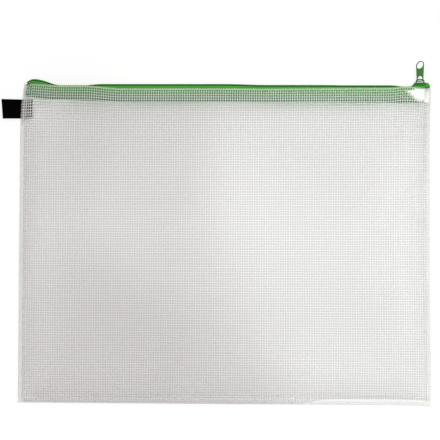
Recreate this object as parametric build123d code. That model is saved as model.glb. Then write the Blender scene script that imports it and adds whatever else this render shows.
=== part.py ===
from build123d import *
import math
import os

os.makedirs("parts", exist_ok=True)

# Zip-top document wallet lying flat on its back panel.
# X runs along the zip, +Y points to the zip edge, Z is up from the table.
# The origin is the middle of the back panel's underside.

# Bag: two film panels with a net inside the film, welded on three edges
bag_width = 350.0
bag_height = 270.0
film = 0.4
weld_band = 5.0
pocket_height = 6.4        # inside the pocket, where the bottom slope ends
side_run_top = 1.5         # plan width of the front panel's side slopes at the zip
side_run_low = 18.0        # the same where the bottom slope ends
bottom_run = 20.0

# Zip tape: two woven strips, each under the edge of its panel
tape = 0.35
tape_overlap = 10.0        # hidden under the film
tape_bend = 0.8            # inner radius of the fold
tape_rise = 0.85           # film edge to the tape's inner face at the chain
tape_edge = 1.1            # chain centre line to the tape's edge
tape_trim = 0.3            # the covered strip stops this far short of the side slopes
zip_left_inset = 6.0       # bag edge to the end of the zip
zip_right_inset = 1.0

# Chain: two nylon coils, each a spine with teeth
coil_height = 1.9
coil_half_width = 2.1
coil_spine = 1.2
coil_mesh = 0.35           # a tooth reaches this far past the centre line
coil_pitch = 1.3
tooth_width = 0.55
front_phase_share = 0.25   # first tooth's middle, as a share of the pitch
rear_phase_share = 0.75

# Slider: crown and bottom plate joined by a wedge
slider_length = 9.0
slider_nose_inset = 5.7    # bag edge to the nose with the zip shut
plate = 0.8                # crown
bottom_plate = 0.6
plate_round = 1.2
flange = 0.6
slider_play = 0.2          # round the chain
slot_play = 0.2            # each side of the tape
parting = 1.2              # each half chain moves aside this far for the wedge
parting_start = 1.2        # from the slider's tail
parting_length = 4.7
bottom_inset = 0.5         # the bottom plate is this much narrower each side
wedge_setback = 0.8        # wedge behind the nose
tape_room = 0.5            # shoulders to the folded tape
edge_round = 0.3

# Bridge on the crown, which carries the puller
bridge_ahead = 0.5         # ahead of the slider's middle
bridge_gap = 5.5
bridge_opening = 2.2
bridge_strip = 0.95
bridge_width = 1.5
bridge_round = 1.1         # inner corners

# Puller: flat plate with a foot bar, a small window and a large eye
pull_length = 17.0         # foot bar's axis to the tip
pull_width = 8.2
pull_foot_width = 6.3
pull_plate = 0.9
pull_rail = 0.85
pull_window = 3.8
pull_rim = 0.8             # round the eye
eye_length = 5.0
eye_slant = 36.0           # degrees
pull_twist = 55.0          # degrees from square across the slider
pull_bar_lift = 1.35       # foot bar's axis above the crown
pull_edge = 0.2

# Ribbon tab: one strip folded into a loop and welded into the left edge
ribbon_width = 16.0
ribbon_out = 15.6
ribbon_in = 8.0
ribbon_layer = 0.3
ribbon_gap = 0.3
ribbon_drop = 18.0         # film's top edge to the ribbon's middle

# Places that follow from the sizes
half_width = bag_width / 2
top_y = bag_height / 2
bottom_y = -top_y
inner_half = half_width - weld_band
low_y = bottom_y + weld_band + bottom_run
shoulder = coil_half_width + parting + slider_play + flange
tape_span = shoulder + tape_room
chain_z = film + tape + tape_span
front_z = chain_z + tape_span + tape
film_slope = (front_z - film - pocket_height) / (top_y - low_y)
tape_y = top_y + tape_rise
coil_y = tape_y + tape
crown_y = coil_y + coil_height + slider_play
zip_left = zip_left_inset - half_width
zip_right = half_width - zip_right_inset
nose_x = half_width - slider_nose_inset
tail_x = nose_x - slider_length
parting_from = tail_x + parting_start
parting_to = parting_from + parting_length


def block(x0, x1, y0, y1, z0, z1):
    size = Box(x1 - x0, y1 - y0, z1 - z0, align=(Align.MIN, Align.MIN, Align.MIN))
    return Pos(x0, y0, z0) * size


def plan_prism(points, y0, y1):
    # A closed outline of (x, height above the chain's centre line), drawn out along Y
    plan = Plane(origin=(0, y0, chain_z), x_dir=(1, 0, 0), z_dir=(0, -1, 0))
    return extrude(plan * make_face(Polyline(*points, close=True)), amount=y0 - y1)


def pillow(inset, lift):
    # The space under the front film: flat rim below, sloping roof above, open end at the zip
    side = inner_half - inset
    foot_y = bottom_y + weld_band + inset
    low_half = inner_half - side_run_low - inset
    top_half = inner_half - side_run_top - inset
    base = Wire.make_polygon(
        [(-side, foot_y, film), (side, foot_y, film), (side, top_y, film), (-side, top_y, film)]
    )
    roof = Wire.make_polygon(
        [
            (-low_half, low_y, film + pocket_height + lift),
            (low_half, low_y, film + pocket_height + lift),
            (top_half, top_y, front_z + lift),
            (-top_half, top_y, front_z + lift),
        ]
    )
    return Solid.make_loft([base, roof], ruled=True)


def part_aside(x):
    # How far each half chain has moved off the centre line at x
    share = (x - parting_from) / parting_length
    return parting * min(max(share, 0), 1)


def ribbon_tab():
    # Two layers lying on the back panel, joined by the fold at the left end
    thick = 2 * ribbon_layer + ribbon_gap
    fold_x = -half_width - ribbon_out + thick / 2
    inner_x = ribbon_in - half_width
    middle_y = top_y - ribbon_drop
    edge_y = middle_y + ribbon_width / 2
    side = Plane(origin=(0, edge_y, film + thick / 2), x_dir=(1, 0, 0), z_dir=(0, -1, 0))
    outside = Pos(fold_x, 0) * Circle(thick / 2)
    outside += Pos((fold_x + inner_x) / 2, 0) * Rectangle(inner_x - fold_x, thick)
    inside = Pos(fold_x, 0) * Circle(ribbon_gap / 2)
    inside += Pos((fold_x + inner_x) / 2, 0) * Rectangle(inner_x - fold_x, ribbon_gap)
    return extrude(side * (outside - inside), amount=ribbon_width)


def ribbon_room(cover):
    # The ribbon's outer block, or the film that steps over it when cover is the film's thickness
    thick = 2 * ribbon_layer + ribbon_gap
    middle_y = top_y - ribbon_drop
    reach_y = ribbon_width / 2 + cover
    inner_x = ribbon_in - half_width
    top_z = film + thick + cover
    return block(-half_width, inner_x, middle_y - reach_y, middle_y + reach_y, film, top_z)


def front_panel():
    rim = block(-half_width, half_width, bottom_y, top_y, film, 2 * film)
    sheet = pillow(0, film) + rim + ribbon_room(film)
    return sheet - pillow(film, 0) - ribbon_room(0)


def back_panel():
    return block(-half_width, half_width, bottom_y, top_y, 0, film)


def zip_tape(side, slope):
    # Edge at the chain, flat run across, quarter bend, then a strip under the film
    bend_y = tape_rise - tape_bend
    bend_z = tape_span - tape_bend
    outer_bend = tape_bend + tape
    inner_mid = tape_bend * math.sqrt(0.5)
    outer_mid = outer_bend * math.sqrt(0.5)
    fall = slope * tape_overlap

    def at(y, z):
        return (y, side * z)

    edges = Polyline(at(bend_y, tape_span), at(0, tape_span), at(-tape_overlap, tape_span - fall))
    edges += Line(at(-tape_overlap, tape_span - fall), at(-tape_overlap, tape_span + tape - fall))
    edges += Polyline(
        at(-tape_overlap, tape_span + tape - fall), at(0, tape_span + tape), at(bend_y, tape_span + tape)
    )
    edges += ThreePointArc(
        at(bend_y, tape_span + tape),
        at(bend_y + outer_mid, bend_z + outer_mid),
        at(tape_rise + tape, bend_z),
    )
    edges += Polyline(
        at(tape_rise + tape, bend_z),
        at(tape_rise + tape, tape_edge),
        at(tape_rise, tape_edge),
        at(tape_rise, bend_z),
    )
    edges += ThreePointArc(
        at(tape_rise, bend_z), at(bend_y + inner_mid, bend_z + inner_mid), at(bend_y, tape_span)
    )
    section = Plane(origin=(zip_left, top_y, chain_z), x_dir=(0, 1, 0), z_dir=(1, 0, 0))
    strip = extrude(section * make_face(edges), amount=zip_right - zip_left)
    side_lean = (side_run_low - side_run_top) / (top_y - low_y)
    covered_half = inner_half - side_run_top - film - tape_trim - side_lean * tape_overlap
    trim_top = top_y + tape_trim
    trim_low = top_y - tape_overlap - tape_trim
    for sign in (-1, 1):
        near = sign * covered_half
        far = sign * half_width
        strip -= block(min(near, far), max(near, far), trim_low, trim_top, 0, 2 * chain_z)
    return strip


def coil(side, phase_share):
    # Teeth on the inner edge of a straight spine; both edges swing aside at the slider
    count = int((zip_right - zip_left) / coil_pitch)
    spine_in = coil_half_width - coil_spine

    def at(x, z):
        return (x, side * (z + part_aside(x)))

    outline = [at(zip_left, spine_in)]
    for index in range(count):
        middle = zip_left + coil_pitch * (index + phase_share)
        start = middle - tooth_width / 2
        end = middle + tooth_width / 2
        outline += [at(start, spine_in), at(start, -coil_mesh), at(end, -coil_mesh), at(end, spine_in)]
    outline.append(at(zip_right, spine_in))
    outline += [at(x, coil_half_width) for x in (zip_right, parting_to, parting_from, zip_left)]
    return plan_prism(outline, coil_y, coil_y + coil_height)


def slider_plan(tail_half, nose_half):
    # Narrow tail, straight shoulders that widen where the chain parts
    half = [(tail_x, tail_half), (parting_from, tail_half), (parting_to, nose_half), (nose_x, nose_half)]
    return half + [(x, -z) for x, z in reversed(half)]


def slider_body():
    tail_half = shoulder - parting
    crown = plan_prism(slider_plan(tail_half, shoulder), tape_y + tape + slot_play, crown_y + plate)
    crown = fillet(crown.edges().filter_by(Axis.Y).group_by(Axis.X)[-1], plate_round)
    crown = fillet(crown.faces().sort_by(Axis.Y)[-1].edges(), edge_round)
    crown -= plan_prism(slider_plan(tail_half - flange, shoulder - flange), tape_y, crown_y)
    slot_y = tape_y - slot_play
    bottom_plan = slider_plan(tail_half - bottom_inset, shoulder - bottom_inset)
    bottom = plan_prism(bottom_plan, slot_y - bottom_plate, slot_y)
    bottom = fillet(bottom.edges().filter_by(Axis.Y).group_by(Axis.X)[-1], plate_round)
    wedge_half = parting - coil_mesh - slider_play
    wedge_tip = parting_to - parting_length * wedge_half / parting
    wedge_end = nose_x - wedge_setback
    wedge = plan_prism(
        [
            (wedge_tip, 0),
            (parting_to, wedge_half),
            (wedge_end, wedge_half),
            (wedge_end, -wedge_half),
            (parting_to, -wedge_half),
        ],
        slot_y - bottom_plate,
        crown_y + plate,
    )
    return crown + bottom + wedge + bridge()


def bridge_middle_x():
    return (tail_x + nose_x) / 2 + bridge_ahead


def bridge():
    # Low arch along the slide, standing on the crown
    side = Plane(origin=(bridge_middle_x(), crown_y + plate, chain_z))
    long = bridge_gap + 2 * bridge_strip
    tall = bridge_opening + bridge_strip
    seat = plate / 2
    outer = Rectangle(long, tall + seat, align=(Align.CENTER, Align.MIN))
    outer = fillet(outer.vertices().group_by(Axis.Y)[-1], bridge_round + bridge_strip)
    inner = Rectangle(bridge_gap, bridge_opening + seat, align=(Align.CENTER, Align.MIN))
    inner = fillet(inner.vertices().group_by(Axis.Y)[-1], bridge_round)
    return extrude(side * (Pos(0, -seat) * (outer - inner)), amount=bridge_width / 2, both=True)


def puller():
    # Drawn flat from the foot bar's axis, then twisted as it lies on the bridge
    turn = math.radians(pull_twist)
    across = (math.sin(turn), 0, math.cos(turn))
    out = (-math.cos(turn), 0, math.sin(turn))
    foot = (bridge_middle_x(), crown_y + plate + pull_bar_lift, chain_z)
    flat = Plane(origin=foot, x_dir=across, z_dir=out)
    bar = pull_plate / 2
    slant = math.radians(eye_slant)
    end_long = eye_length / 2 + pull_rim
    end_wide = pull_width / 2
    reach = math.hypot(end_wide * math.sin(slant), end_long * math.cos(slant))
    eye_v = pull_length - reach
    side_half = 1 / math.hypot(math.cos(slant) / end_wide, math.sin(slant) / end_long)
    foot_half = pull_foot_width / 2
    outline = make_face(
        Polyline((-foot_half, -bar), (foot_half, -bar), (side_half, eye_v), (-side_half, eye_v), close=True)
    )
    outline = fillet(outline.vertices().group_by(Axis.Y)[0], bar)
    eye_place = Pos(0, eye_v) * Rot(0, 0, eye_slant)
    outline += eye_place * Ellipse(end_wide, end_long)
    outline -= eye_place * Ellipse(end_wide - pull_rim, eye_length / 2)
    window_half = foot_half - pull_rail
    arch_v = bar + pull_window - window_half
    window = Pos(0, bar) * Rectangle(2 * window_half, arch_v - bar, align=(Align.CENTER, Align.MIN))
    window += (Pos(0, arch_v) * Circle(window_half)) & (
        Pos(0, bar) * Rectangle(2 * window_half, pull_window, align=(Align.CENTER, Align.MIN))
    )
    blank = extrude(flat * (outline - window), amount=bar, both=True)
    return chamfer(blank.faces().filter_by(Axis(foot, out)).edges(), pull_edge)


parts = {
    "front_panel": front_panel(),
    "back_panel": back_panel(),
    "front_zip_tape": zip_tape(1, film_slope),
    "rear_zip_tape": zip_tape(-1, 0),
    "front_coil": coil(1, front_phase_share),
    "rear_coil": coil(-1, rear_phase_share),
    "slider_body": slider_body(),
    "puller": puller(),
    "ribbon_tab": ribbon_tab(),
}

for name, shape in parts.items():
    export_step(shape, f"parts/{name}.step")
    print(name, len(shape.solids()), round(shape.volume, 2))
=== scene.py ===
import bpy
import numpy as np
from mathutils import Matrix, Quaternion, Vector


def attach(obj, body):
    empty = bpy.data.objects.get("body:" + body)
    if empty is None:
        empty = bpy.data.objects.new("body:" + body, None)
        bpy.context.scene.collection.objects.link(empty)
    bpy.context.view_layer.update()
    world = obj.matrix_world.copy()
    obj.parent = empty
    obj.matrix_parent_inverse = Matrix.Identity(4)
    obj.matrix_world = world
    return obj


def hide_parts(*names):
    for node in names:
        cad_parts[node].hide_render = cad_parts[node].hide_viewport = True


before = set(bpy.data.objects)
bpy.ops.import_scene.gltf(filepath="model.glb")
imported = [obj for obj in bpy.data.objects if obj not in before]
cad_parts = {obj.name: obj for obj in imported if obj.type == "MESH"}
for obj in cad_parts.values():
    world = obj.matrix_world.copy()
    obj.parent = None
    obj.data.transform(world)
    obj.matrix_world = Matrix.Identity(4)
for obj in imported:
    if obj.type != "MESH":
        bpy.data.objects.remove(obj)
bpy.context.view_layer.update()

mm = 0.001


# sRGB hex to linear colour
def hexColour(code):
    raw = np.array([int(code[i:i + 2], 16) for i in (1, 3, 5)]) / 255
    linear = np.where(raw <= 0.04045, raw / 12.92, ((raw + 0.055) / 1.055) ** 2.4)
    return (*linear.tolist(), 1.0)


# one node with its settings, its values and its links
def addNode(tree, kind, inputs=None, **settings):
    node = tree.nodes.new(kind)
    for name, value in settings.items():
        setattr(node, name, value)
    for name, value in (inputs or {}).items():
        if isinstance(value, bpy.types.NodeSocket):
            tree.links.new(value, node.inputs[name])
        else:
            node.inputs[name].default_value = value
    return node


# noise with patches of about that many mm
def addNoise(tree, place, size, detail, roughness=0.5):
    return addNode(tree, "ShaderNodeTexNoise", {
        "Vector": place["Object"], "Scale": 1 / (size * mm), "Detail": detail,
        "Roughness": roughness}).outputs["Fac"]


# soft bands across the map's X or Y, each about that many mm wide
def addBands(tree, place, size, stray, direction):
    oneUnit = 0.31  # wave scale at which a band is one unit wide
    spread = addNode(tree, "ShaderNodeMapping", {
        "Vector": place["UV"], "Scale": (1 / size, 1 / size, 1 / size)})
    return addNode(tree, "ShaderNodeTexWave", {
        "Vector": spread.outputs[0], "Scale": oneUnit, "Distortion": stray},
        bands_direction=direction).outputs["Fac"]


# two colours mixed, each a hex code or a socket; 6, 7 and 2 are the node's colour sockets
def addBlend(tree, factor, low, high):
    low, high = (hexColour(c) if isinstance(c, str) else c for c in (low, high))
    return addNode(tree, "ShaderNodeMix", {
        "Factor": factor, 6: low, 7: high}, data_type="RGBA").outputs[2]


# a value carried from one range to another and held at its ends
def addRange(tree, value, source=(0.0, 1.0), target=(0.0, 1.0), curve="LINEAR"):
    return addNode(tree, "ShaderNodeMapRange", {
        "Value": value, "From Min": source[0], "From Max": source[1],
        "To Min": target[0], "To Max": target[1]}, interpolation_type=curve).outputs["Result"]


# one sum on numbers and sockets
def addMath(tree, operation, *values):
    return addNode(tree, "ShaderNodeMath", dict(enumerate(values)), operation=operation).outputs[0]


# relief, its depth in mm
def addBump(tree, height, strength, depth):
    return addNode(tree, "ShaderNodeBump", {
        "Strength": strength, "Distance": depth * mm, "Height": height}).outputs["Normal"]


# the map's second measure, mm up the tape or above its inner edge
def mapUp(tree, place):
    return addNode(tree, "ShaderNodeSeparateXYZ", {"Vector": place["UV"]}).outputs["Y"]


# a material with its shader's fixed values set on the sockets
def startMaterial(name, values):
    material = bpy.data.materials.new(name)
    material.use_nodes = True
    tree = material.node_tree
    shader = tree.nodes["Principled BSDF"]
    for socket, value in values.items():
        shader.inputs[socket].default_value = value
    return material, tree, shader


# sockets by the name of the shader's input that they feed
def linkShader(tree, shader, sockets):
    for name, socket in sockets.items():
        tree.links.new(socket, shader.inputs[name])


# 0 to 1 with flat ends: t squared times (3 - 2t)
def ease(t):
    t = np.clip(t, 0, 1)
    return t * t * (3 - 2 * t)


# eased from 0 at start to 1 at start plus run; a run below zero goes the other way
def ramp(x, start, run):
    return ease((x - start) / run)


# a ramp times its height
def climb(x, high, start, run):
    return high * ramp(x, start, run)


# one smooth mound: high times e to the power of minus ((x - middle) / width) squared
def mound(x, high, middle, width):
    return high * np.exp(-((x - middle) / width) ** 2)


# rises at once and flattens out: 1 - (1 - t) to the power p
def swell(t, power):
    return 1 - (1 - np.clip(t, 0, 1)) ** power


# quads of a grid of rows by columns, columns joined round where wrap is set
def gridQuads(rows, columns, wrap=False):
    first = np.arange(rows * columns).reshape(rows, columns)
    if wrap:
        first = np.concatenate([first, first[:, :1]], axis=1)
    corners = [first[:-1, :-1], first[:-1, 1:], first[1:, 1:], first[1:, :-1]]
    return np.stack(corners, axis=-1).reshape(-1, 4)


# points in mm and faces into a mesh object that rides on the wallet
def makePiece(name, points, faces, material, uv=None, body="wallet"):
    mesh = bpy.data.meshes.new(name)
    mesh.from_pydata((points.reshape(-1, 3) * mm).tolist(), [], faces)
    mesh.materials.append(material)
    mesh.polygons.foreach_set("use_smooth", np.ones(len(mesh.polygons), dtype=bool))
    if uv is not None:
        corner = np.empty(len(mesh.loops), dtype=np.int32)
        mesh.loops.foreach_get("vertex_index", corner)
        layer = mesh.uv_layers.new(name="run")
        layer.data.foreach_set("uv", uv.reshape(-1, 2)[corner].astype(np.float32).ravel())
    mesh.update()
    piece = bpy.data.objects.new(name, mesh)
    bpy.context.collection.objects.link(piece)
    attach(piece, body)
    return piece


# wall of a sheet, in mm; offset -1 goes inwards from the surface, 0 half to each side
def thicken(piece, thick, offset=-1):
    wall = piece.modifiers.new("wall", "SOLIDIFY")
    wall.thickness = thick * mm
    wall.offset = offset
    return piece


# a profile carried along many paths at once: path + p * first + q * second, capped at both ends
def sweep(paths, first, second, profile):
    first, second = (np.broadcast_to(way, paths.shape) for way in (first, second))
    points = paths[:, :, None, :] + first[:, :, None, :] * profile[None, None, :, :1]
    points = points + second[:, :, None, :] * profile[None, None, :, 1:]
    count, steps, sides = points.shape[:3]
    start = (np.arange(count) * steps * sides)[:, None]
    walls = (gridQuads(steps, sides, wrap=True)[None] + start[:, :, None]).reshape(-1, 4)
    ring = np.arange(sides)[None]
    heads = (ring[:, ::-1] + start).tolist()
    tails = (ring + start + (steps - 1) * sides).tolist()
    return points, walls.tolist() + heads + tails


# length along a line of points from its start
def runLength(first, second):
    return np.concatenate([[0], np.cumsum(np.hypot(np.diff(first), np.diff(second)))])


# Clear soft PVC film, calendered smooth: a faint grey veil, sharp broad glints, soft ripples; a painted
# shadow of the zip tape, tinted green as light off the tape, greys it over the tape and fades out 16 mm
# below it
def makeClearVinyl():
    look = dict(colour="#d3d2d0", tapeShadow="#9db29b", tapeShadowRange=(-16.0, 0.5), ripple=9.0,
                toneRange=(0.3, 0.7), tone=(0.96, 1.0), grain=0.9, grainShare=0.06, bump=0.25, depth=0.5)
    material, tree, shader = startMaterial("clearVinyl", {"Roughness": 0.26, "IOR": 1.53, "Alpha": 0.09})
    place = addNode(tree, "ShaderNodeTexCoord").outputs
    ripple = addNoise(tree, place, look["ripple"], 2.0)
    grain = addNoise(tree, place, look["grain"], 1.0)
    relief = addMath(tree, "MULTIPLY_ADD", grain, look["grainShare"], ripple)
    tone = addRange(tree, ripple, look["toneRange"], look["tone"])
    veil = addNode(tree, "ShaderNodeVectorMath", {
        0: hexColour(look["colour"])[:3], 1: tone}, operation="MULTIPLY")
    # painted shadow: green-grey over the tape, fading back to the plain veil 16 mm below the tape's inner
    # edge
    tapeShadowShare = addRange(tree, mapUp(tree, place), look["tapeShadowRange"], curve="SMOOTHSTEP")
    linkShader(tree, shader, {
        "Base Color": addBlend(tree, tapeShadowShare, veil.outputs[0], look["tapeShadow"]),
        "Normal": addBump(tree, relief, look["bump"], look["depth"])})
    return material


# The same film fused by a hot bar: two skins in one, evenly clouded, with the bar's faint knurl in it; the
# top hem is a paler kind of it. Its near-white, nearly opaque kind at the zip's end and that kind's hazy
# border are a painted highlight: the glare there is painted onto the film
def makeWeldAndGlareVinyl(name, light, dark, alpha):
    look = dict(cloud=14.0, knurl=1.2, stray=0.2, bump=0.12, depth=0.06)
    material, tree, shader = startMaterial(name, {"Roughness": 0.3, "IOR": 1.53, "Alpha": alpha})
    place = addNode(tree, "ShaderNodeTexCoord").outputs
    cloud = addNoise(tree, place, look["cloud"], 2.0)
    knurl = addNode(tree, "ShaderNodeTexVoronoi", {
        "Vector": place["Object"], "Scale": 1 / (look["knurl"] * mm), "Randomness": look["stray"]})
    linkShader(tree, shader, {
        "Base Color": addBlend(tree, cloud, dark, light),
        "Normal": addBump(tree, knurl.outputs["Distance"], look["bump"], look["depth"])})
    return material


# White polyester net yarn laid flat inside the film: matt and slightly streaky; over the zip tape it is
# painted pale green, standing in for the tape's light through it, and the green fades out 8 mm below the
# tape as a painted shadow
def makeNetYarn():
    look = dict(light="#f8f8f6", dark="#ebebe9", streak=0.7, over="#bedab0", overRange=(-8.0, 12.0))
    material, tree, shader = startMaterial("polyesterNetYarn", {"Roughness": 0.55, "IOR": 1.55})
    place = addNode(tree, "ShaderNodeTexCoord").outputs
    streak = addNoise(tree, place, look["streak"], 2.0)
    tone = addBlend(tree, streak, look["dark"], look["light"])
    # painted light and shadow: the green rises across the tape and fades out 8 mm below its inner edge
    tapeLightAndShadow = addRange(tree, mapUp(tree, place), look["overRange"])
    linkShader(tree, shader, {"Base Color": addBlend(tree, tapeLightAndShadow, tone, look["over"])})
    return material


# Dyed woven polyester zip tape: soft green, cross weave drawn about twice as coarse as it is; a painted
# shade makes the part under the film darker and bluer, and a still darker band runs along its inner edge
def makeWovenTape():
    look = dict(light="#45a430", dark="#318a22", deep="#567c6c", deepRange=(4.0, 12.2), edge="#366057",
                edgeRange=(1.5, 2.3), weave=0.9, stray=0.4, bump=0.5, depth=0.12)
    material, tree, shader = startMaterial("wovenZipTape", {
        "Roughness": 0.75, "IOR": 1.5, "Specular IOR Level": 0.25, "Sheen Weight": 0.06})
    place = addNode(tree, "ShaderNodeTexCoord").outputs
    warp, weft = (addBands(tree, place, look["weave"], look["stray"], way) for way in ("X", "Y"))
    cloth = addMath(tree, "MULTIPLY", warp, weft)
    colour = addBlend(tree, cloth, look["dark"], look["light"])
    up = mapUp(tree, place)
    # painted shade: darker and bluer where the tape lies under the film; the lowest band is darker still
    for shade in ("deep", "edge"):
        below = addRange(tree, up, look[shade + "Range"], (1.0, 0.0))
        colour = addBlend(tree, below, colour, look[shade])
    linkShader(tree, shader, {
        "Base Color": colour, "Normal": addBump(tree, cloth, look["bump"], look["depth"])})
    return material


# Drawn nylon monofilament, dyed darker than the tape: smooth, half glossy
def makeNylonCoil():
    look = dict(light="#349427", dark="#1e6c13", mottle=1.4, rough=(0.28, 0.45))
    material, tree, shader = startMaterial("dyedNylonMonofilament", {"Roughness": 0.35, "IOR": 1.53})
    place = addNode(tree, "ShaderNodeTexCoord").outputs
    mottle = addNoise(tree, place, look["mottle"], 2.0)
    linkShader(tree, shader, {
        "Base Color": addBlend(tree, mottle, look["dark"], look["light"]),
        "Roughness": addRange(tree, mottle, target=look["rough"])})
    return material


# Stoved enamel on die-cast zinc: smooth green paint with orange peel and a few rubbed spots
def makeEnamel(name, light, dark):
    look = dict(peel=0.8, rough=(0.22, 0.42), bump=0.2, depth=0.05,
                rub=2.6, rubFine=0.7, bare="#a9b39f", bareRange=(0.72, 0.8), bareMost=0.3)
    material, tree, shader = startMaterial(name, {
        "IOR": 1.5, "Specular IOR Level": 0.3, "Coat Weight": 0.06, "Coat Roughness": 0.12})
    place = addNode(tree, "ShaderNodeTexCoord").outputs
    peel = addNoise(tree, place, look["peel"], 2.0)
    rub = addNoise(tree, place, look["rub"], 4.0, look["rubFine"])
    tone = addBlend(tree, rub, dark, light)
    rubbed = addRange(tree, rub, look["bareRange"], (0.0, look["bareMost"]))
    linkShader(tree, shader, {
        "Base Color": addBlend(tree, rubbed, tone, look["bare"]),
        "Roughness": addRange(tree, peel, target=look["rough"]),
        "Normal": addBump(tree, peel, look["bump"], look["depth"])})
    return material


# Black woven polyester ribbon: near black, ribbed across its length, with a painted dull sheen: the rib
# crests are coloured a shade lighter than the hollows; the ribs are drawn about twice as coarse as they are
def makeBlackRibbon():
    look = dict(light="#060607", dark="#010101", rib=0.8, stray=0.3, bump=0.5, depth=0.1)
    material, tree, shader = startMaterial("blackWovenRibbon", {
        "Roughness": 0.8, "IOR": 1.5, "Specular IOR Level": 0.015})
    place = addNode(tree, "ShaderNodeTexCoord").outputs
    ribs = addBands(tree, place, look["rib"], look["stray"], "X")
    linkShader(tree, shader, {
        # painted sheen: the rib crests get the lighter colour
        "Base Color": addBlend(tree, ribs, look["dark"], look["light"]),
        "Normal": addBump(tree, ribs, look["bump"], look["depth"])})
    return material


clearVinyl = makeClearVinyl()
weldedVinyl = makeWeldAndGlareVinyl("weldedVinyl", "#dfe0dc", "#d4d5d1", 0.22)
# painted highlight: a near-white glare at the zip's end and its paler hazy border, painted onto the film
paintedGlareVinyl = makeWeldAndGlareVinyl("paintedGlareVinyl", "#fdfdfc", "#f6f6f5", 0.85)
hemVinyl = makeWeldAndGlareVinyl("hemVinyl", "#d6eecb", "#c6e4ba", 0.27)
glareHazeVinyl = makeWeldAndGlareVinyl("glareHazeVinyl", "#e6f1e1", "#dbe9d4", 0.42)
netYarn = makeNetYarn()
wovenTape = makeWovenTape()
nylonCoil = makeNylonCoil()
sliderPaint = makeEnamel("sliderEnamel", "#2a741c", "#15510d")
pullerPaint = makeEnamel("pullerEnamel", "#40822c", "#2b631d")
blackRibbon = makeBlackRibbon()
print("materials made")

# zip: lines of the tape and coil in mm, and the free left end that stands up past the slider's travel;
# here and below a pair is a ramp's start and run, and a triple has the amount in front of them
zipLine = dict(
    chainHeight=5.35, span=4.6, left=-172.7, right=173.3,
    hump=4.3, humpAt=-166.0, humpLeft=11.5, humpRight=23.5,
    dip=0.95, dipFrom=(-156.0, 16.0), dipTo=(-120.0, 14.0),
    droops=((0.8, 0.0, 35.0), (0.3, 80.0, 25.0), (0.9, 140.0, 12.0)), held=(157.3, 3.2),
    pinch=0.45, pinchRun=(-148.0, -26.0))


# the zip's line up and down: one raised cosine with its own width on each side, a dip after it,
# and a slow droop that ends where the slider holds the chain
def zipRise(x):
    width = np.where(x < zipLine["humpAt"], zipLine["humpLeft"], zipLine["humpRight"])
    t = np.clip(np.abs(x - zipLine["humpAt"]) / width, 0, 1)
    hump = zipLine["hump"] * 0.5 * (1 + np.cos(np.pi * t))
    dip = zipLine["dip"] * ramp(x, *zipLine["dipFrom"]) * (1 - ramp(x, *zipLine["dipTo"]))
    low = sum(climb(x, *droop) for droop in zipLine["droops"])
    return hump - dip - low * (1 - ramp(x, *zipLine["held"]))


# share of the zip's height that is left where its free end is pressed towards the back film
def pinchShare(x):
    return 1 - zipLine["pinch"] * ramp(x, *zipLine["pinchRun"])


# film: sizes in mm, heights are of the outer face; a mound's triple is its height, middle and width
film = dict(
    halfWidth=175.0, halfHeight=135.0, thick=0.4, weld=5.0, footWeld=3.6, hem=1.6,
    topHeight=10.7, lowHeight=7.2, lowLine=-110.0,  # roof
    topRun=1.5, sideRun=26.0, runBlend=55.0, footRun=26.0, power=2.2,  # rise from the welds
    softRun=4.0, softStart=0.15,  # softer bend at the weld's edge
    # waves: height, share of x, share of y, turn per mm, phase
    waves=((0.30, 0.55, 1.0, 0.05, 0.8), (0.2, 1.0, -0.35, 0.07, 2.1), (0.06, 1.0, 0.8, 0.17, 0.4)),
    calm=(95.0, 30.0),
    puff=1.2, puffX=158.0, puffWide=10.0, puffY=120.0, puffTall=9.0,  # beside the slider
    tab=0.9, tabEnd=(-167.0, 3.0), tabFoot=(106.5, 2.0), tabTop=(125.5, 2.0),  # step over the ribbon
    zipStep=0.8, zipFoot=(121.0, 1.5), zipSide=(160.0, 4.0),  # step over the zip's ends
    lean=2.4, leanFoot=1.7, corner=((1.1, 100.0, 22.0), (1.3, 118.0, 12.0), (0.9, 129.0, 6.0)),  # left edge
    cornerPower=10,
    drawn=0.85, drawnTop=(1.0, -0.2), drawnFoot=(0.12, 0.35),  # right edge, in shares of the height
    nearTop=(80.0, 55.0), topFalls=((1.75, -170.0, 28.0), (2.45, -122.0, 34.0)), topLow=0.9,  # top edge
    topDip=(0.3, 38.0, 25.0), topClimb=(0.3, 70.0, 50.0), topMound=(1.3, 153.0, 9.0), backRise=0.6,
    cornerLift=2.8, footLow=0.5, footMound=(0.9, 175.0, 12.0))  # foot


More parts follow.
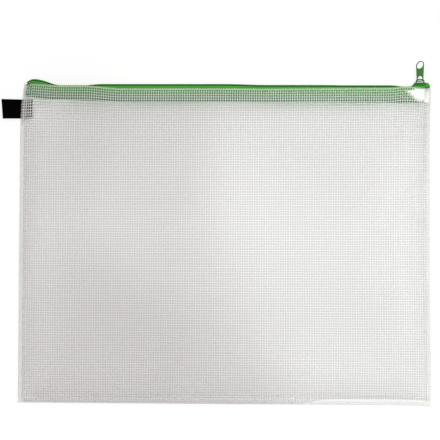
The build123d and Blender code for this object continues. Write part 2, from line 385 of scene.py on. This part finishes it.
# height of the front film's outer face: a roof that falls from the zip to the foot, times one swelling
# rise from each side weld and one from the foot weld, plus long shallow waves, a puff beside the slider and
# the steps over the ribbon and the zip's ends
def filmHeight(x, y):
    share = np.clip((y - film["lowLine"]) / (film["halfHeight"] - film["lowLine"]), 0, 1)
    ridge = film["thick"] + (film["topHeight"] - film["thick"]) * pinchShare(x)
    roof = film["lowHeight"] + (ridge - film["lowHeight"]) * share
    below = ease((film["halfHeight"] - y) / film["runBlend"])
    run = film["topRun"] + (film["sideRun"] - film["topRun"]) * below
    side = film["halfWidth"] - film["weld"] - np.abs(x)
    foot = y + film["halfHeight"] - film["weld"]
    soft = ease(side / np.minimum(film["softRun"], run) + film["softStart"])
    soft = soft * ease(foot / film["softRun"] + film["softStart"])
    rise = swell(side / run, film["power"]) * swell(foot / film["footRun"], film["power"]) * soft
    waves = sum(high * np.sin((shareX * x + shareY * y) * turn + phase)
                for high, shareX, shareY, turn, phase in film["waves"])
    calm = 1 - ramp(y, *film["calm"])
    offX = (x - film["puffX"]) / film["puffWide"]
    offY = (y - film["puffY"]) / film["puffTall"]
    puff = film["puff"] * np.exp(-offX ** 2 - offY ** 2)
    tab = (1 - ramp(x, *film["tabEnd"])) * ramp(y, *film["tabFoot"]) * (1 - ramp(y, *film["tabTop"]))
    zipStep = ramp(y, *film["zipFoot"]) * ramp(np.abs(x), *film["zipSide"])
    steps = film["tab"] * tab + film["zipStep"] * zipStep
    low = 2 * film["thick"]
    return low + (roof - low + waves * calm + puff) * rise + steps * (1 - rise)


# flat place to lying place: the left edge leans in, its upper corner rounds off, the right edge is drawn
# in, the foot's left corner is drawn up and its right one down, and the top edge rises with the zip's free
# end and beside the slider
def filmPlan(x, y):
    left = (1 - x / film["halfWidth"]) / 2
    up = (1 + y / film["halfHeight"]) / 2
    drawn = film["drawn"] * ramp(up, *film["drawnTop"]) * ramp(up, *film["drawnFoot"])
    corner = sum(climb(y, *turn) for turn in film["corner"])
    newX = x + left * (film["lean"] * up - film["leanFoot"]) - drawn * (1 - left) ** 2
    newX = newX + corner * left ** film["cornerPower"]
    wave = sum(high * (1 - ramp(x, start, run)) for high, start, run in film["topFalls"]) - film["topLow"]
    wave = wave - mound(x, *film["topDip"]) + climb(x, *film["topClimb"]) + mound(x, *film["topMound"])
    foot = film["cornerLift"] * left - film["footLow"] - mound(x, *film["footMound"])
    newY = y + foot * (1 - up) ** 2 + wave * ramp(y, *film["nearTop"]) ** 2
    return newX, newY


# front film in its lying place, drop mm below its outer face
def lieFilm(x, y, drop):
    newX, newY = filmPlan(x, y)
    return np.stack([newX, newY, filmHeight(x, y) - drop], axis=-1)


# back film in its lying place, flat at one height, its top edge a little further up
def lieBack(x, y, height):
    newX, newY = filmPlan(x, y)
    newY = newY + film["backRise"] * ramp(y, *film["nearTop"]) ** 2
    return np.stack([newX, newY, np.full_like(newX, height)], axis=-1)


# painted highlight: spot of the film painted near-opaque white as a glare at the zip's end, in mm on the
# flat film, with a hazy border
glareSpot = dict(left=154.5, right=172.8, steepTop=131.0, steep=0.78, flatTop=124.8, flat=0.15, flatFrom=162.5,
            ragged=0.7, raggedTurn=2.3, top=131.3, topClimb=(2.0, 155.0, 7.0), glareHaze=2.0)


# faces whose flat middle lies in a weld band, in the hem or in the painted glare spot get that material;
# the spot's lower edge is the higher of a steep and a flat line, made ragged by a sine
def markWeldHemAndGlare(piece, x, y):
    midX = (x[:-1, :-1] + x[1:, 1:]) / 2
    midY = (y[:-1, :-1] + y[1:, 1:]) / 2
    inner = film["halfWidth"] - film["weld"]
    welded = (np.abs(midX) > inner) | (midY < film["footWeld"] - film["halfHeight"])
    hem = (midY > film["halfHeight"] - film["hem"]) & (np.abs(midX) < inner)
    steep = glareSpot["steepTop"] - glareSpot["steep"] * (midX - glareSpot["left"])
    flat = glareSpot["flatTop"] - glareSpot["flat"] * (midX - glareSpot["flatFrom"])
    lower = np.maximum(steep, flat) + glareSpot["ragged"] * np.sin(glareSpot["raggedTurn"] * midX)
    under = (midX < glareSpot["right"]) & (midY < glareSpot["top"] + climb(midX, *glareSpot["topClimb"]))
    # painted highlight: the glare spot, and below it its hazy border
    paintedGlare = under & (midX > glareSpot["left"]) & (midY > lower)
    glareHaze = under & (midX > glareSpot["left"] - glareSpot["glareHaze"]) & (midY > lower - glareSpot["glareHaze"])
    for finish in (weldedVinyl, paintedGlareVinyl, hemVinyl, glareHazeVinyl):  # slots 1 to 4, after the clear film
        piece.data.materials.append(finish)
    kind = np.select([paintedGlare, glareHaze, hem, welded], [2, 4, 3, 1])
    piece.data.polygons.foreach_set("material_index", kind.ravel().astype(np.int32))


# tape: sizes in mm; overlap lies under the film, inner is the lie of its inner edge, press how its left end
# goes down with the film, and mapEnd takes the map off the tape past its right end
tape = dict(
    thick=0.35, overlap=12.0, bend=0.975, rise=1.025, edge=1.1, leftCovered=-172.4, rightCovered=168.5,
    endRamp=(0.1, 0.9), stripSteps=14, bendSteps=8, runSteps=6, steps=260,
    innerHigh=4.4, innerFrom=-168.0, innerFall=36.0, innerDroop=(0.6, 20.0, 130.0),
    clear=0.03, pressTo=-166.0, pressLeast=0.06, filmEdge=0.2, mapEnd=(30.0, 167.5, 2.5))
tapeFloor = film["thick"] + tape["thick"] / 2  # middle of a tape that lies on the back film


# the tape's inner edge climbs to the left end by an exponential and droops slowly to the right
def innerRise(x):
    away = np.maximum(x, tape["innerFrom"]) - tape["innerFrom"]
    return tape["innerHigh"] * np.exp(-away / tape["innerFall"]) - climb(x, *tape["innerDroop"])


# map for films and nets: mm along the zip, and mm above the tape's inner edge where there is a tape
def tapeMap(points):
    x, y = points[..., 0], points[..., 1]
    above = y - film["halfHeight"] + tape["overlap"] - innerRise(x) - climb(x, *tape["mapEnd"])
    return np.stack([x, above], axis=-1)


# grid lines of the films: from, to and how many, close where the film bends
columnRuns = [(-175, -170, 4), (-169.7, -145, 32), (-143, 143, 130), (145, 169.7, 32), (170, 175, 4)]
rowRuns = [(-135, -130, 4), (-129.5, -104, 26), (-102, 100, 92), (101, 133.5, 34), (134.2, 135, 2)]
columns, rows = (np.concatenate([np.linspace(*run) for run in runs]) for runs in (columnRuns, rowRuns))
gridX, gridY = np.meshgrid(columns, rows)
filmFaces = gridQuads(len(rows), len(columns)).tolist()
laid = lieFilm(gridX, gridY, 0)
frontFilm = makePiece("frontFilm", laid, filmFaces, clearVinyl, tapeMap(laid))
thicken(frontFilm, film["thick"])
markWeldHemAndGlare(frontFilm, gridX, gridY)
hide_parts("front_panel")
# the back film is flat, so every third line is enough between its welds
flatColumns = np.concatenate([columns[:4], columns[6:-6:3], columns[-4:]])
flatRows = np.concatenate([rows[:4], rows[6:-1:3], rows[-1:]])
flatX, flatY = np.meshgrid(flatColumns, flatRows)
backFaces = gridQuads(*flatX.shape).tolist()
laid = lieBack(flatX, flatY, film["thick"])
backFilm = makePiece("backFilm", laid, backFaces, clearVinyl, tapeMap(laid))
thicken(backFilm, film["thick"])
markWeldHemAndGlare(backFilm, flatX, flatY)
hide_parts("back_panel")
print("films laid", len(filmFaces), len(backFaces))

# net: yarn spacing and section in mm; the back net meets the front one in step at alignX, alignY, the left
# end is at weldLine below cornerFoot, and the foot is cut back to the right of cutFrom
net = dict(pitchX=2.03, pitchY=2.11, backPitchX=2.0164, backPitchY=2.105, alignX=8.0, alignY=9.4,
           width=0.5, thick=0.2, left=-174.4, weldLine=-171.6, cornerFoot=103.0, right=173.2,
           foot=-134.4, footCut=4.6, cutFrom=60.0, cutRun=30.0, top=134.2,
           frontSteps=(70, 90), backSteps=(16, 16))


# yarns up and across as flat diamonds carried along lines on the film
def makeNet(name, lie, pitchX, pitchY, stepsUp, stepsAcross):
    firstX = net["alignX"] - pitchX * np.floor((net["alignX"] - net["left"]) / pitchX)
    firstY = net["alignY"] - pitchY * np.floor((net["alignY"] - net["foot"]) / pitchY)
    xs = np.arange(firstX, net["right"], pitchX)[:, None]
    ys = np.arange(firstY, net["top"], pitchY)[:, None]
    footLine = net["foot"] + climb(xs, net["footCut"], net["cutFrom"], net["cutRun"])
    footLine = np.where(xs < net["weldLine"], net["cornerFoot"], footLine)
    upY = footLine + (net["top"] - footLine) * np.linspace(0, 1, stepsUp)
    upX = xs + 0 * upY
    farEnd = np.where(ys < net["foot"] + net["footCut"], net["cutFrom"], net["right"])
    nearEnd = np.where(ys < net["cornerFoot"], net["weldLine"], net["left"])
    acrossX = nearEnd + (farEnd - nearEnd) * np.linspace(0, 1, stepsAcross)
    acrossY = ys + 0 * acrossX
    angles = np.array([0, 0.5, 1, 1.5]) * np.pi
    diamond = np.stack([np.cos(angles), np.sin(angles)], axis=-1)
    half = np.array([net["width"], net["thick"]]) / 2
    axisX, axisY, axisZ = np.eye(3)
    upPoints, upFaces = sweep(lie(upX, upY), axisZ, axisX, diamond * half[::-1])
    acrossPoints, acrossFaces = sweep(lie(acrossX, acrossY), axisY, axisZ, diamond * half)
    start = upPoints.size // 3
    points = np.concatenate([upPoints.reshape(-1, 3), acrossPoints.reshape(-1, 3)])
    faces = upFaces + [[i + start for i in face] for face in acrossFaces]
    return makePiece(name, points, faces, netYarn, tapeMap(points))


netLevel = film["thick"] / 2  # in the middle of each film
frontNet = makeNet("frontNet", lambda x, y: lieFilm(x, y, netLevel),
                   net["pitchX"], net["pitchY"], *net["frontSteps"])
backNet = makeNet("backNet", lambda x, y: lieBack(x, y, netLevel),
                  net["backPitchX"], net["backPitchY"], *net["backSteps"])
print("nets laid")


# zip places that follow its free end: y rises with the zip's line, z is drawn in towards the back film
def followZip(x, y, z, rise):
    newX = filmPlan(x, np.minimum(y, film["halfHeight"]))[0]
    return np.stack([newX, y + rise, tapeFloor + (z - tapeFloor) * pinchShare(x)], axis=-1)


# tape: a profile of strip under the film, quarter bend and flat run to the chain, carried along x; the
# strip under the film reaches less far to the right, and the front tape goes down with the film at the left
def makeTape(name, side):
    strip = np.linspace(-tape["overlap"], tape["rise"] - tape["bend"], tape["stripSteps"])
    angle = np.linspace(0, np.pi / 2, tape["bendSteps"])[1:]
    bendY = tape["rise"] - tape["bend"] + tape["bend"] * np.sin(angle)
    spanMid = zipLine["span"] + tape["thick"] / 2
    bendZ = spanMid - tape["bend"] + tape["bend"] * np.cos(angle)
    runZ = np.linspace(bendZ[-1], tape["edge"], tape["runSteps"])[1:]
    profileY = np.concatenate([strip, bendY, np.full_like(runZ, tape["rise"])])
    profileZ = np.concatenate([np.full_like(strip, spanMid), bendZ, runZ])
    length = runLength(profileY, profileZ)
    outside = ramp(profileY, *tape["endRamp"])[:, None]
    leftX = tape["leftCovered"] + (zipLine["left"] - tape["leftCovered"]) * outside
    rightX = tape["rightCovered"] + (zipLine["right"] - tape["rightCovered"]) * outside
    x = leftX + (rightX - leftX) * np.linspace(0, 1, tape["steps"])[None]
    y = film["halfHeight"] + np.broadcast_to(profileY[:, None], x.shape)
    z = zipLine["chainHeight"] + side * np.broadcast_to(profileZ[:, None], x.shape)
    inward = np.clip(-profileY / tape["overlap"], 0, 1)[:, None]
    points = followZip(x, y, z, zipRise(x) * (1 - inward) + innerRise(x) * inward)
    if side > 0:
        cover = filmHeight(x, np.minimum(y, film["halfHeight"])) - film["thick"]
        under = cover - tape["thick"] / 2 - tape["clear"]
        crest = (zipLine["chainHeight"] + spanMid - tapeFloor) * pinchShare(x)
        pressed = np.clip((under - tapeFloor) / crest, tape["pressLeast"], 1)
        pressed = np.where(x < tape["pressTo"], pressed, 1)
        height = tapeFloor + (points[..., 2] - tapeFloor) * pressed
        points[..., 2] = np.where(profileY[:, None] < tape["filmEdge"], np.minimum(height, under), height)
    uv = np.stack([x, np.broadcast_to(length[:, None], x.shape)], axis=-1)
    faces = gridQuads(*x.shape)
    faces = faces if side > 0 else faces[:, ::-1]
    piece = makePiece(name, points, faces.tolist(), wovenTape, uv)
    thicken(piece, tape["thick"], 0)
    return piece, float(length[-1]) * mm


frontTape, tapeWidth = makeTape("frontTape", 1)
rearTape = makeTape("rearTape", -1)[0]
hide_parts("front_zip_tape")
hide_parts("rear_zip_tape")
print("tapes laid")

# coil: sizes in mm; phases are shares of a turn, half a turn apart so that the two coils mesh
coil = dict(pitch=1.3, wire=0.68, outer=2.1, mesh=0.35, height=1.9, foot=136.2, end=170.2, steps=14,
            sides=6, frontPhase=0.25, rearPhase=0.75, partFrom=161.5, partLength=4.7, parting=1.2)


# coil: an ellipse wound along x, its middle moved aside where the slider has parted the chain
def makeCoil(name, side, phase):
    turns = int((coil["end"] - zipLine["left"]) / coil["pitch"]) - 1  # the phase needs part of one
    t = np.linspace(0, 2 * np.pi * turns, turns * coil["steps"] + 1)
    x = zipLine["left"] + coil["pitch"] * (phase + t / (2 * np.pi))
    aside = coil["parting"] * np.clip((x - coil["partFrom"]) / coil["partLength"], 0, 1)
    halfDeep = (coil["outer"] + coil["mesh"] - coil["wire"]) / 2
    halfTall = (coil["height"] - coil["wire"]) / 2
    middle = (coil["outer"] - coil["mesh"]) / 2
    z = zipLine["chainHeight"] + side * (middle + aside - halfDeep * np.cos(t))
    y = coil["foot"] + coil["height"] / 2 + halfTall * np.sin(t)
    path = followZip(x, y, z, zipRise(x))
    ahead = np.gradient(path, axis=0)
    ahead /= np.linalg.norm(ahead, axis=1, keepdims=True)
    out = np.stack([np.zeros_like(t), halfTall * np.sin(t), -side * halfDeep * np.cos(t)], axis=-1)
    out -= ahead * (out * ahead).sum(axis=1, keepdims=True)
    out /= np.linalg.norm(out, axis=1, keepdims=True)
    beside = np.cross(ahead, out)
    angles = np.arange(coil["sides"]) * 2 * np.pi / coil["sides"]
    ring = np.stack([np.cos(angles), np.sin(angles)], axis=-1) * coil["wire"] / 2
    points, faces = sweep(path[None], out[None], beside[None], ring)
    return makePiece(name, points, faces, nylonCoil)


frontCoil = makeCoil("frontCoil", 1, coil["frontPhase"])
rearCoil = makeCoil("rearCoil", -1, coil["rearPhase"])
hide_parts("front_coil")
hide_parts("rear_coil")
print("coils wound")

zipEnd = dict(left=169.6, right=173.3, foot=134.6, tall=4.3, deep=4.1, drop=0.2, power=3.0, shut=0.985,
              archPower=0.7, endDeep=0.35, steps=14, archSteps=25, mapFrom=13.0, mapTurn=4.0)


# folded tape end over the chain: an arch from film to film, its height and depth closing towards the
# right end by a rounded-box curve
def makeZipEnd():
    a = np.linspace(0, 1, zipEnd["steps"])[:, None]
    t = np.linspace(0, np.pi, zipEnd["archSteps"])[None]
    close = (1 - (a * zipEnd["shut"]) ** zipEnd["power"]) ** (1 / zipEnd["power"])
    x = zipEnd["left"] + (zipEnd["right"] - zipEnd["left"]) * a + 0 * t
    y = zipEnd["foot"] + zipEnd["tall"] * close * np.sin(t) ** zipEnd["archPower"]
    deep = zipEnd["deep"] * (zipEnd["endDeep"] + (1 - zipEnd["endDeep"]) * close)
    z = zipLine["chainHeight"] - zipEnd["drop"] + deep * np.cos(t)
    points = np.stack([x, y, z], axis=-1)
    uv = np.stack([x, zipEnd["mapFrom"] + zipEnd["mapTurn"] * t + 0 * a], axis=-1)
    piece = makePiece("zipEndFold", points, gridQuads(*x.shape).tolist(), wovenTape, uv)
    return thicken(piece, tape["thick"])


zipEndFold = makeZipEnd()

ribbon = dict(out=-190.4, inside=-163.6, middle=117.0, width=16.2, layer=0.28, gap=0.3, clear=0.02,
              free=-172.0, freeLength=19.0, skew=1.2, widen=0.03, lift=0.25,
              layerSteps=24, foldSteps=13, acrossSteps=15)


# ribbon: one strip out along the back film, round a small fold and back, carried across its width;
# its free corners are skewed a little
def makeRibbon():
    radius = (ribbon["gap"] + ribbon["layer"]) / 2
    foldX = ribbon["out"] + radius
    angle = np.linspace(-np.pi / 2, -3 * np.pi / 2, ribbon["foldSteps"])
    lowX = np.linspace(ribbon["inside"], foldX, ribbon["layerSteps"])[:-1]
    pathX = np.concatenate([lowX, foldX + radius * np.cos(angle), lowX[::-1]])
    middleZ = film["thick"] + ribbon["layer"] + ribbon["gap"] / 2 + ribbon["clear"]
    layerZ = np.full_like(lowX, radius)
    pathZ = np.concatenate([-layerZ, radius * np.sin(angle), layerZ]) + middleZ
    length = runLength(pathX, pathZ)
    w = np.linspace(-0.5, 0.5, ribbon["acrossSteps"])[:, None]
    out = np.clip((ribbon["free"] - pathX) / ribbon["freeLength"], 0, 1)[None]
    x = pathX[None] + ribbon["skew"] * out * (0.5 - w)
    y = ribbon["middle"] + ribbon["width"] * w * (1 + ribbon["widen"] * out) + ribbon["lift"] * out
    z = pathZ[None] + 0 * w
    points = np.stack([x, y, z], axis=-1)
    uv = np.stack([length[None] + 0 * w, ribbon["width"] * w + 0 * out], axis=-1)
    faces = gridQuads(*x.shape)[:, ::-1]
    piece = makePiece("ribbonTab", points, faces.tolist(), blackRibbon, uv)
    thicken(piece, ribbon["layer"], 0)
    return piece


ribbonTab = makeRibbon()
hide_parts("ribbon_tab")
for node, paint in (("slider_body", sliderPaint), ("puller", pullerPaint)):
    slots = bpy.data.objects[node].data.materials
    slots.clear()
    slots.append(paint)
print("ribbon folded, slider and puller painted")

# studio: mm for the floor, metres for the softboxes; glow is the paper's white to the camera, and share how
# much of it is mixed in
studio = dict(floor=-0.25, floorHalf=4000.0, floorColour="#fdfdfd", share=0.74, glow=1.03, sky=0.975,
              skyLean=(-0.06, 0.30, 0.0), skyColour="#fffafb", boxColour="#f0f9f6")
# the right softbox whitens the right half of the film, the far one all but its lower left
softboxes = [
    dict(name="rightSoftbox", place=(0.75, 0.23, 1.0), aim=(0.27, -0.018, 0.0), size=0.445, sizeY=0.385,
         spread=3.53, roll=77.5, power=0.205),
    dict(name="farSoftbox", place=(-0.35, 0.75, 1.1), aim=(0.071, 0.017, 0.0), size=0.2285, sizeY=0.317,
         spread=3.71, roll=31.9, power=0.057)]


# White paper sweep: matt floor that shows white to the camera and keeps the wallet's shadow
def makeFloor():
    floor = bpy.data.objects.new("floor", bpy.data.meshes.new("floor"))
    side = studio["floorHalf"] * mm
    corners = [(-side, -side), (side, -side), (side, side), (-side, side)]
    floor.data.from_pydata([(x, y, studio["floor"] * mm) for x, y in corners], [], [(0, 1, 2, 3)])
    bpy.context.collection.objects.link(floor)
    paper, tree, shader = startMaterial("whitePaper", {
        "Base Color": hexColour(studio["floorColour"]), "Roughness": 0.9, "Specular IOR Level": 0.0})
    path = addNode(tree, "ShaderNodeLightPath").outputs
    seen = addMath(tree, "MAXIMUM", path["Is Camera Ray"], path["Is Glossy Ray"])
    seen = addMath(tree, "MAXIMUM", seen, path["Is Transmission Ray"])
    part = addMath(tree, "MULTIPLY", seen, studio["share"])
    glow = addNode(tree, "ShaderNodeEmission", {"Color": (1, 1, 1, 1), "Strength": studio["glow"]})
    mix = addNode(tree, "ShaderNodeMixShader", {0: part, 1: shader.outputs[0], 2: glow.outputs[0]})
    tree.links.new(mix.outputs[0], tree.nodes["Material Output"].inputs["Surface"])
    floor.data.materials.append(paper)


# even white room, brighter towards the lean: sky + direction dot skyLean
def makeSky():
    world = bpy.data.worlds.new("studio")
    world.use_nodes = True
    tree = world.node_tree
    background = tree.nodes["Background"].inputs
    background["Color"].default_value = hexColour(studio["skyColour"])
    place = addNode(tree, "ShaderNodeTexCoord").outputs
    lean = addNode(tree, "ShaderNodeVectorMath", {
        0: place["Generated"], 1: studio["skyLean"]}, operation="DOT_PRODUCT")
    tree.links.new(addMath(tree, "ADD", lean.outputs["Value"], studio["sky"]), background["Strength"])
    bpy.context.scene.world = world


# narrow-beamed rectangle at its place, turned to its aim and rolled about the beam
def makeSoftbox(box):
    lamp = bpy.data.lights.new(box["name"], "AREA")
    lamp.shape = "RECTANGLE"
    lamp.size = box["size"]
    lamp.size_y = box["sizeY"]
    lamp.spread = np.radians(box["spread"])
    lamp.energy = box["power"]
    lamp.color = hexColour(studio["boxColour"])[:3]
    softbox = bpy.data.objects.new(box["name"], lamp)
    softbox.location = box["place"]
    ahead = (Vector(box["aim"]) - softbox.location).to_track_quat("-Z", "Y")
    softbox.rotation_euler = (ahead @ Quaternion((0, 0, 1), np.radians(box["roll"]))).to_euler()
    bpy.context.collection.objects.link(softbox)


makeFloor()
makeSky()
for box in softboxes:
    makeSoftbox(box)

# view: mm, across is how much the picture shows
view = dict(x=-4.47, y=22.57, height=1600.0, across=374.7, sensor=36.0, farClip=20.0)
lens = bpy.data.cameras.new("camera")
lens.sensor_width = view["sensor"]
lens.lens = view["sensor"] * view["height"] / view["across"]
lens.clip_end = view["farClip"]
camera = bpy.data.objects.new("camera", lens)
camera.location = (view["x"] * mm, view["y"] * mm, view["height"] * mm)
bpy.context.collection.objects.link(camera)
bpy.context.scene.camera = camera
bpy.context.scene.view_settings.view_transform = "Standard"
print("studio lit")
